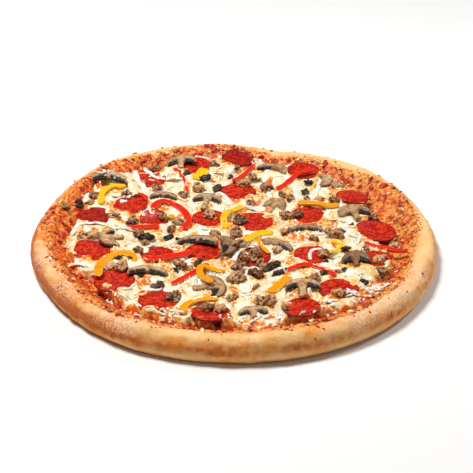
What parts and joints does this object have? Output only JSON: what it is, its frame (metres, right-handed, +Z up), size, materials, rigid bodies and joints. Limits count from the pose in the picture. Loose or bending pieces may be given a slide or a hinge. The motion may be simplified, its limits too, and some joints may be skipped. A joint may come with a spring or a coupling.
{
  "type": "supreme pizza",
  "caption": "Round baked pizza with a puffy hand-stretched rim, sauce, melted cheese, pepperoni, mushroom slices, sausage crumbs, onion and strips of red and yellow pepper.",
  "frame": {"origin": "middle of the flat base, on the surface that the pizza rests on", "axes": "+Z up out of the toppings, +Y towards the back of the pizza as seen, +X to its right"},
  "size_m": [0.356, 0.356, 0.0297],
  "materials": {
    "crust": "baked dough, pale gold with toasted patches and a dry floury skin",
    "sauce": "grainy baked tomato sauce with oil on it",
    "cheese": "melted mozzarella, cream with golden spots, slightly oily",
    "pepperoni": "cured sausage slice, mottled red with fat specks, oily",
    "mushroom": "roasted mushroom slice, beige flesh with brown rim and nearly black gills",
    "sausage": "ragged cooked sausage crumb, light to dark brown",
    "onion": "cooked onion, white and slightly see-through",
    "red_pepper": "cooked pepper strip, bright red and glossy",
    "yellow_pepper": "cooked pepper strip, yellow to orange and glossy"
  },
  "bodies": {
    "root": {"cheese": "cheese", "crust": "crust", "mushroom_01": "mushroom", "mushroom_02": "mushroom", "mushroom_03": "mushroom", "mushroom_04": "mushroom", "mushroom_05": "mushroom", "mushroom_06": "mushroom", "mushroom_07": "mushroom", "mushroom_08": "mushroom", "mushroom_09": "mushroom", "mushroom_10": "mushroom", "mushroom_11": "mushroom", "mushroom_12": "mushroom", "mushroom_13": "mushroom", "mushroom_14": "mushroom", "mushroom_15": "mushroom", "mushroom_16": "mushroom", "mushroom_17": "mushroom", "mushroom_18": "mushroom", "pepperoni_01": "pepperoni", "pepperoni_02": "pepperoni", "pepperoni_03": "pepperoni", "pepperoni_04": "pepperoni", "pepperoni_05": "pepperoni", "pepperoni_06": "pepperoni", "pepperoni_07": "pepperoni", "pepperoni_08": "pepperoni", "pepperoni_09": "pepperoni", "pepperoni_10": "pepperoni", "pepperoni_11": "pepperoni", "pepperoni_12": "pepperoni", "pepperoni_13": "pepperoni", "pepperoni_14": "pepperoni", "pepperoni_15": "pepperoni", "pepperoni_16": "pepperoni", "pepperoni_17": "pepperoni", "pepperoni_18": "pepperoni", "pepperoni_19": "pepperoni", "pepperoni_20": "pepperoni", "pepperoni_21": "pepperoni", "red_pepper_01": "red_pepper", "red_pepper_02": "red_pepper", "red_pepper_03": "red_pepper", "red_pepper_04": "red_pepper", "red_pepper_05": "red_pepper", "red_pepper_06": "red_pepper", "red_pepper_07": "red_pepper", "red_pepper_08": "red_pepper", "sauce": "sauce", "yellow_pepper_01": "yellow_pepper", "yellow_pepper_02": "yellow_pepper", "yellow_pepper_03": "yellow_pepper", "yellow_pepper_04": "yellow_pepper", "yellow_pepper_05": "yellow_pepper", "yellow_pepper_06": "yellow_pepper", "yellow_pepper_07": "yellow_pepper", "yellow_pepper_08": "yellow_pepper", "yellow_pepper_09": "yellow_pepper", "yellow_pepper_10": "yellow_pepper"}
  },
  "joints": []
}
